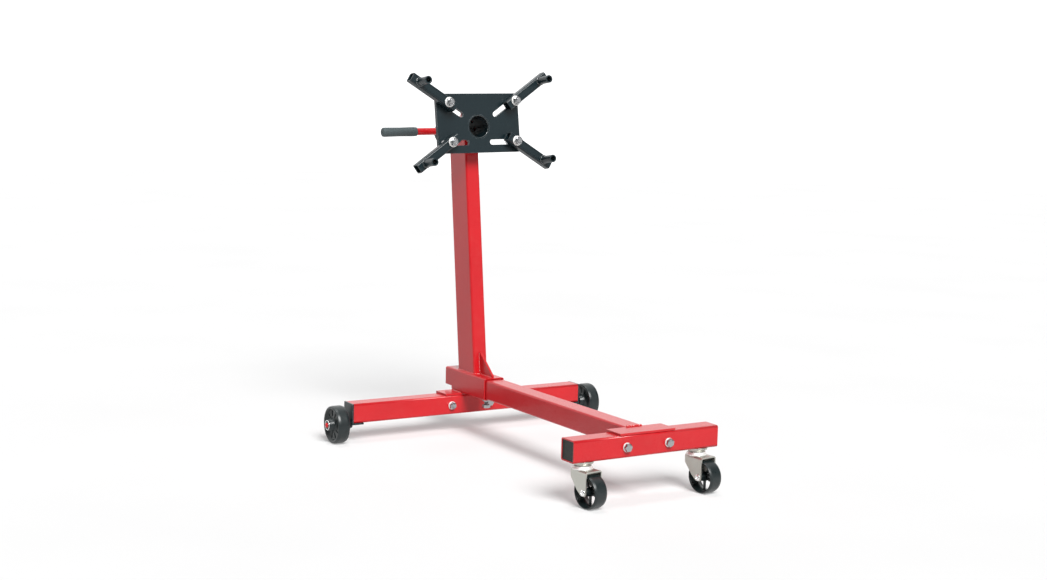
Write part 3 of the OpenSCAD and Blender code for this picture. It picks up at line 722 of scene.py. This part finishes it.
def make_caster_fork(side):
    """A caster fork pressed from sheet: tapered legs, creased and drawn in at the back."""
    name = "caster_fork_" + side
    swivel = Vector(JOINTS["caster_swivel_" + side]["pos_m"])
    spin = JOINTS["caster_spin_" + side]
    ahead = Vector(spin["pos_m"]) - swivel
    ahead.z = 0
    place = place_at((swivel.x, swivel.y, 0), Z_AXIS, Z_AXIS.cross(ahead))
    axle_place = place_at(spin["pos_m"], spin["axis"], Z_AXIS)
    pin_low, pin_high = span("caster_axle_" + side, axle_place)
    race = 7 * mm
    top = span(name, place)[1].z - race
    half = pin_high.z - 3 * mm
    axle_y, axle_z = -ahead.length, spin["pos_m"][2]
    sheet, nose, fold, heel, crease, foot = 3 * mm, 10 * mm, 6 * mm, 21 * mm, -9 * mm, 30 * mm
    past = 1 * mm

    def section(y):
        w = half - 0.24 * max(0.0, y - crease)
        inside, under, inner_fold = w - sheet, top - sheet, fold - sheet
        shape = filleted([
            (-w, foot, 0), (-w, top, fold), (w, top, fold), (w, foot, 0),
            (inside, foot, 0), (inside, under, inner_fold), (-inside, under, inner_fold), (-inside, foot, 0)
        ])
        return [place @ Vector((p.x, y, p.y)) for p in shape]

    bm = bmesh.new()
    skin(bm, [section(y) for y in (axle_y - nose - past, crease, heel + past)])
    fork = piece_of("fork_" + side, bm, name, PRESSED, [name])
    knee = top - 20 * mm
    away = Vector((heel - axle_y, knee - axle_z))
    start = math.atan2(away.y, away.x) - math.acos(nose / away.length)
    axle = Vector((axle_y, axle_z))
    tangent = axle + polar(nose, start).xy
    outline = filleted([
        (axle_y - nose, top + past, 0), (heel, top + past, 0), (heel, knee, 9 * mm), (*tangent, 0)
    ], closed=False)
    steps = 24
    for step in range(1, steps + 1):
        outline.append(axle + polar(nose, start - (math.pi + start) * step / steps).xy)
    bm = bmesh.new()
    sideways = place @ Matrix(((0, 0, 1, 0), (1, 0, 0, 0), (0, 1, 0, 0), (0, 0, 0, 1)))
    prism(bm, outline, -30 * mm, 30 * mm, sideways)
    keep_inside(fork, bm)
    round_edges(fork, 0.45 * mm)
    make_race(side, place, top)
    make_rivet(side, axle_place, pin_low.z)


def make_race(side, place, top):
    """The domed race on top of a fork."""
    bore, rise = M12.radius + HOLE_GAP, top + 6.6 * mm
    dome = [
        (bore, top - 1 * mm, 0),
        (23.8 * mm, top - 1 * mm, 0),
        (23.6 * mm, top + 1.4 * mm, 1.2 * mm),
        (21.5 * mm, top + 3.4 * mm, 3 * mm),
        (20 * mm, rise, 2 * mm),
        (bore, rise, 0.6 * mm)
    ]
    bm = bmesh.new()
    lathe(bm, filleted(dome), place, 96)
    piece_of("fork_race_" + side, bm, "caster_fork_" + side, WHITENED_ZINC)


def make_rivet(side, place, end):
    """A caster's axle: a rivet with a domed and dimpled head at both ends."""
    dimple, under, head = end + 1.6 * mm, end + 3 * mm, 7.4 * mm
    rivet = [
        (CORE, dimple, 0),
        (2.2 * mm, dimple, 0.5 * mm),
        (3 * mm, end, 0.6 * mm),
        (CASTER_PIN, end, 1 * mm),
        (head, end + 1.6 * mm, 1.2 * mm),
        (head, under, 0),
        (CASTER_PIN - HOLE_GAP, under, 0)
    ]
    bm = bmesh.new()
    lathe(bm, filleted(mirrored(rivet), 4), place, 48)
    fork = "caster_fork_" + side
    piece_of("rivet_" + side, bm, fork, ZINC, ["caster_axle_" + side])


def keep_inside(piece, bm):
    """Keeps only what is inside a closed mesh."""
    mesh = bpy.data.meshes.new("cutter")
    bmesh.ops.recalc_face_normals(bm, faces=bm.faces)
    bm.to_mesh(mesh)
    bm.free()
    cutter = bpy.data.objects.new("cutter", mesh)
    bpy.context.scene.collection.objects.link(cutter)
    step = piece.modifiers.new("cut", "BOOLEAN")
    step.operation = "INTERSECT"
    step.solver = "EXACT"
    step.object = cutter
    bpy.context.view_layer.update()
    cut = piece.evaluated_get(bpy.context.evaluated_depsgraph_get())
    made = bpy.data.meshes.new_from_object(cut)
    piece.modifiers.remove(step)
    piece.data = made
    smooth(made)
    bpy.data.objects.remove(cutter)
    bpy.data.meshes.remove(mesh)


def make_caster_plates():
    """The fixed top plates of the casters, each with a bearing cup on a narrower neck."""
    bore = M12.radius + HOLE_GAP
    bm = bmesh.new()
    for side in SIDES:
        swivel = JOINTS["caster_swivel_" + side]["pos_m"]
        place = place_at((swivel[0], swivel[1], 0), Z_AXIS)
        low, high = span("caster_plates", place, keep=lambda p: (p.x > 0) == (side == "right"))
        cup = [
            (bore, low.z, 0.5 * mm),
            (19 * mm, low.z, 1 * mm),
            (20.5 * mm, low.z + 2 * mm, 1.2 * mm),
            (21 * mm, low.z + 3.6 * mm, 0.8 * mm),
            (high.x - 1 * mm, low.z + 4.4 * mm, 1.2 * mm),
            (high.x, high.z - 2.4 * mm, 0.8 * mm),
            (high.x, high.z, 0.6 * mm),
            (bore, high.z, 0)
        ]
        lathe(bm, filleted(cup, 5), place, 96)
    piece_of("caster_cups", bm, "frame", PRESSED, ["caster_plates"])


def make_kingpins():
    """The pins that the casters swivel on."""
    head = 9 * mm
    bm = bmesh.new()
    for low, high in halves("kingpins"):
        middle = (low + high) / 2
        place = place_at((middle.x, middle.y, 0), Z_AXIS)
        shoulder = low.z + 4 * mm
        pin = [
            (CORE, low.z, 0),
            (head - 2 * mm, low.z, 2 * mm),
            (head, low.z + 2.5 * mm, 1 * mm),
            (head, shoulder, 0.4 * mm),
            (M12.radius, shoulder, 0),
            (M12.radius, high.z, 0.8 * mm),
            (CORE, high.z, 0)
        ]
        lathe(bm, filleted(pin, 4), place, 48)
    piece_of("swivel_pins", bm, "frame", ZINC, ["kingpins"])


# ---- Handle, grip, lock pin, plugs and axles ----

def make_handle():
    """The handle bar and its rubber grip, with three grooves at the open end and a rounded far end."""
    low, high = span("handle_grip", PLATE)
    bar_low, bar_high = span("handle_bar", PLATE)
    middle = (low + high) / 2
    place = place_at(PLATE @ Vector((0, middle.y, middle.z)), PLATE_X, PLATE.col[1].xyz)
    radius, bar = high.y - middle.y, bar_high.y - middle.y
    bore, bottom, dimple = bar + HOLE_GAP, low.x + 3.5 * mm, low.x + 1.2 * mm
    profile = [
        (bore, bottom, 0),
        (bore, high.x, 0.5 * mm),
        (radius - 0.5 * mm, high.x, 1 * mm),
        (radius - 0.3 * mm, high.x - 4 * mm, 0.5 * mm)
    ]
    pitch, half_width, depth, fillet = 3.2 * mm, 0.8 * mm, 0.7 * mm, 0.3 * mm
    for index in range(3):
        at = high.x - 7 * mm - pitch * index
        profile += [
            (radius, at, fillet),
            (radius - depth, at - half_width, fillet),
            (radius, at - 2 * half_width, fillet)
        ]
    profile += [
        (radius, high.x - 18 * mm, 4 * mm),
        (radius - 0.5 * mm, middle.x, 30 * mm),
        (radius, low.x + 9 * mm, 6 * mm),
        (radius - 0.2 * mm, low.x, 4.5 * mm),
        (3.6 * mm, low.x, 0.6 * mm),
        (2.6 * mm, dimple, 0.6 * mm),
        (CORE, dimple, 0),
        (CORE, bottom, 0)
    ]
    bm = bmesh.new()
    lathe(bm, filleted(profile), place, 72)
    piece_of("grip", bm, "head", RUBBER, ["handle_grip"])
    bm = bmesh.new()
    near, far = bar_low.x, bar_high.x
    rod = [(CORE, near, 0), (bar, near, 0.5 * mm), (bar, far, 1.6 * mm), (CORE, far, 0)]
    lathe(bm, filleted(rod, 5), place, 64)
    piece_of("handle_rod", bm, "head", RED, ["handle_bar"])


def make_lock_pin():
    """The T-handled pin that locks the head: a tapered nose, a collar and a bar with rounded ends."""
    low, high = span("lock_pin", SLEEVE)
    up = SLEEVE.col[1].xyz
    place = place_at(SLEEVE @ Vector((0, 0, (low.z + high.z) / 2)), up, X_AXIS)
    bar, shank, collar, clearance = 4 * mm, 5 * mm, 8 * mm, 0.15 * mm
    middle = high.y - bar
    travel = JOINTS["lock_pin_drop"]["range_m"][1]
    seat = span("pin_boss", SLEEVE)[1].y + travel + clearance
    pin = [
        (CORE, low.y, 0),
        (3.4 * mm, low.y, 0.8 * mm),
        (shank, low.y + 2.6 * mm, 0.8 * mm),
        (shank, seat, 0),
        (collar, seat, 0.7 * mm),
        (collar, seat + 4 * mm, 0.9 * mm),
        (shank, seat + 4.6 * mm, 0.5 * mm),
        (4.6 * mm, middle, 0),
        (CORE, middle, 0)
    ]
    bm = bmesh.new()
    lathe(bm, filleted(pin, 4), place, 56)
    bar_place = place_at(place @ Vector((0, 0, middle)), X_AXIS, up)
    rod = [
        (CORE, low.x, 0),
        (bar, low.x, 2.4 * mm),
        (bar, low.x + 6 * mm, 3 * mm),
        (bar - 0.6 * mm, 0, 20 * mm),
        (bar, high.x - 6 * mm, 3 * mm),
        (bar, high.x, 2.4 * mm),
        (CORE, high.x, 0)
    ]
    lathe(bm, filleted(rod), bar_place, 48)
    piece_of("head_lock_pin", bm, "lock_pin", ZINC, ["lock_pin"])


def make_plugs():
    """The plastic plugs inside the ends of the front beam: a dished face and three fins behind it."""
    bm = bmesh.new()
    for low, high in halves("front_plugs"):
        outward = -1 if low.x < 0 else 1
        inner, tip = sorted((abs(low.x), abs(high.x)))
        middle, width = (low + high) / 2, high.y - low.y
        place = place_at((0, middle.y, middle.z), (outward, 0, 0), (0, 1, 0))
        corner, least = 2.4 * mm, 1.2 * mm
        face = [
            (3 * mm, 2.5 * mm), (0, 2.5 * mm), (0, 0.7 * mm), (0.7 * mm, 0), (2.6 * mm, 0),
            (4 * mm, 1.4 * mm), (14 * mm, 1.8 * mm)
        ]
        rings = []
        for inset, depth in face:
            side = width - 2 * inset
            shape = rounded_square(side, max(corner - inset, least))
            rings.append([place @ Vector((p.x, p.y, tip - depth)) for p in shape])
        skin(bm, rings)
        fin = rounded_square(width - 0.3 * mm, corner)
        for step in range(3):
            height = inner + (0.5 + 3 * step) * mm
            prism(bm, fin, height, height + 1.4 * mm, place)
        prism(bm, rounded_square(width - 6 * mm, 1.5 * mm), inner, tip - 2 * mm, place)
    piece_of("beam_plugs", bm, "frame", PLUG, ["front_plugs"])


def make_axles():
    """The painted ends of the rear axles, and the dished clips that hold the wheels on them."""
    axles, clips = bmesh.new(), bmesh.new()
    clearance = 0.06 * mm
    bore = M12.radius + clearance
    for (low, high), (clip_low, clip_high) in zip(halves("rear_axles"), halves("axle_clips")):
        outward = -1 if low.x < 0 else 1
        middle = (low + high) / 2
        place = place_at((0, middle.y, middle.z), (outward, 0, 0), Z_AXIS)
        inner, tip = sorted((abs(low.x), abs(high.x)))
        r = high.z - middle.z
        rod = [
            (CORE, inner, 0), (r, inner, 0), (r, tip - 1.6 * mm, 1.2 * mm),
            (r - 2.6 * mm, tip, 3 * mm), (CORE, tip, 0)
        ]
        lathe(axles, filleted(rod), place, 56)
        near, far = sorted((abs(clip_low.x), abs(clip_high.x)))
        edge = clip_high.z - middle.z
        dish = [
            (bore, near + 0.4 * mm, 0.2 * mm),
            (edge - 2 * mm, near + 0.1 * mm, 0.5 * mm),
            (edge, near, 0.2 * mm),
            (edge, far - 0.3 * mm, 0.4 * mm),
            (edge - 3 * mm, far, 0.6 * mm),
            (bore, far, 0.3 * mm)
        ]
        lathe(clips, filleted(dish, 3), place, 60)
    piece_of("axle_rods", axles, "frame", RED, ["rear_axles"])
    piece_of("push_clips", clips, "frame", BLACK, ["axle_clips"])


# ---- Stage ----

def make_floor():
    """A plain, pale and matt floor."""
    bm = bmesh.new()
    bmesh.ops.create_circle(bm, cap_ends=True, radius=14, segments=96)
    mesh = bpy.data.meshes.new("floor")
    bm.to_mesh(mesh)
    bm.free()
    floor = bpy.data.objects.new("floor", mesh)
    bpy.context.scene.collection.objects.link(floor)
    n = Nodes("studio_floor")
    tone = n.span(n.noise(1.5, 2.0), 0.3, 0.7)
    pale = n.mix(tone, (0.56, 0.56, 0.56, 1), (0.58, 0.58, 0.58, 1))
    n.set(Base_Color=pale, Roughness=0.9, IOR=1.2)
    n.set(Emission_Color=(1, 1, 1, 1), Emission_Strength=0.3)
    mesh.materials.append(n.material)


def add_sun(name, toward, strength, angle):
    """A sun that stands toward a direction and is as soft as its angle in degrees."""
    data = bpy.data.lights.new(name, "SUN")
    data.energy = strength
    data.angle = math.radians(angle)
    light = bpy.data.objects.new(name, data)
    light.rotation_euler = Vector(toward).to_track_quat("Z", "Y").to_euler()
    bpy.context.scene.collection.objects.link(light)


def make_lights():
    """A soft key light high in front, a weak one overhead, and a white room with one window."""
    add_sun("key", (-0.10, -0.70, 0.70), 4.5, 30)
    add_sun("top", (0.0, 0.15, 0.98), 0.5, 10)
    world = bpy.data.worlds.new("room")
    bpy.context.scene.world = world
    world.use_nodes = True
    tree = world.node_tree

    def add(kind, values, operation=None):
        node = tree.nodes.new(kind)
        if operation:
            node.operation = operation
        for socket, value in zip(node.inputs, values):
            if isinstance(value, bpy.types.NodeSocket):
                tree.links.new(value, socket)
            else:
                socket.default_value = value
        return node.outputs

    def span_of(value, low, high, to_low, to_high):
        return add("ShaderNodeMapRange", (value, low, high, to_low, to_high))[0]

    def combined(operation, a, b):
        return add("ShaderNodeMath", (a, b), operation)[0]

    ray = add("ShaderNodeLightPath", ())
    around = add("ShaderNodeTexCoord", ())["Generated"]
    split = add("ShaderNodeSeparateXYZ", (around,))
    behind = span_of(split["Y"], -0.2, 0.8, 0.08, 1.35)
    above = span_of(split["Z"], 0.55, 0.9, 0.0, 0.7)
    toward_window = (0.51, -0.83, 0.23)
    aim = add("ShaderNodeVectorMath", (around, toward_window), "DOT_PRODUCT")["Value"]
    window = span_of(aim, 0.93, 0.975, 0.0, 0.8)
    room = combined("ADD", combined("ADD", behind, above), window)
    soft = span_of(ray["Is Diffuse Ray"], 0.0, 1.0, 1.0, 0.04)
    level = combined("MAXIMUM", ray["Is Camera Ray"], combined("MULTIPLY", room, soft))
    background = tree.nodes["Background"].inputs
    tree.links.new(level, background["Strength"])
    background["Color"].default_value = (1, 1, 1, 1)


def make_camera():
    """The camera: it stands low in front, to the left, and is turned a little about its own axis."""
    azimuth, pitch, roll = math.radians(-31.58), math.radians(5.53), math.radians(1.40)
    x, y_from_beam, height = -2.01114, -2.72623, 0.88088
    level = Vector((math.cos(azimuth), math.sin(azimuth), 0))
    ahead = Z_AXIS.cross(level) * math.cos(pitch) - Z_AXIS * math.sin(pitch)
    above = level.cross(ahead)
    right = level * math.cos(roll) + above * math.sin(roll)
    up = above * math.cos(roll) - level * math.sin(roll)
    data = bpy.data.cameras.new("camera")
    data.sensor_width = 36
    data.lens = 53.37
    data.shift_y = -0.0396
    camera = bpy.data.objects.new("camera", data)
    turned = Matrix((right, up, -ahead)).transposed().to_4x4()
    turned.translation = (x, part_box("front_beam")[0].y + y_from_beam, height)
    camera.matrix_world = turned
    bpy.context.scene.collection.objects.link(camera)
    bpy.context.scene.camera = camera


# ---- The stand ----

make_camera()
make_floor()
make_lights()
view = bpy.context.scene.view_settings
view.view_transform = "Standard"
view.look = "None"

FINISHES = (
    (RED, 0.0, ("rear_beam", "front_beam")),
    (RED, 0.5 * mm, ("centre_leg", "mast_foot", "mast")),
    (RED, 0.7 * mm, ("rear_bracket", "front_bracket", "mast_gusset", "head_sleeve", "pin_boss")),
    (BLACK, 0.7 * mm, ("mounting_plate", "head_tube", "axle_brackets")),
    (BLACK, 0.3 * mm, ("axle_spacers",)),
    (ZINC, 0.3 * mm, ("kingpin_nuts",)),
)
for material, edge, nodes in FINISHES:
    for node in nodes:
        finish_node(node, material, edge)
for corner in CORNERS:
    finish_node("arm_" + corner, BLACK, 0.5 * mm)
    finish_node("finger_" + corner, BLACK, 0.5 * mm)
    make_arm_fasteners(corner)
    make_finger_weld(corner)
make_beam_fasteners()
make_clamp()
make_base_welds()
make_sleeve_welds()
make_plate_welds()
for side in SIDES:
    make_rear_wheel(side)
    make_caster_wheel(side)
    make_caster_fork(side)
make_caster_plates()
make_kingpins()
make_handle()
make_lock_pin()
make_plugs()
make_axles()
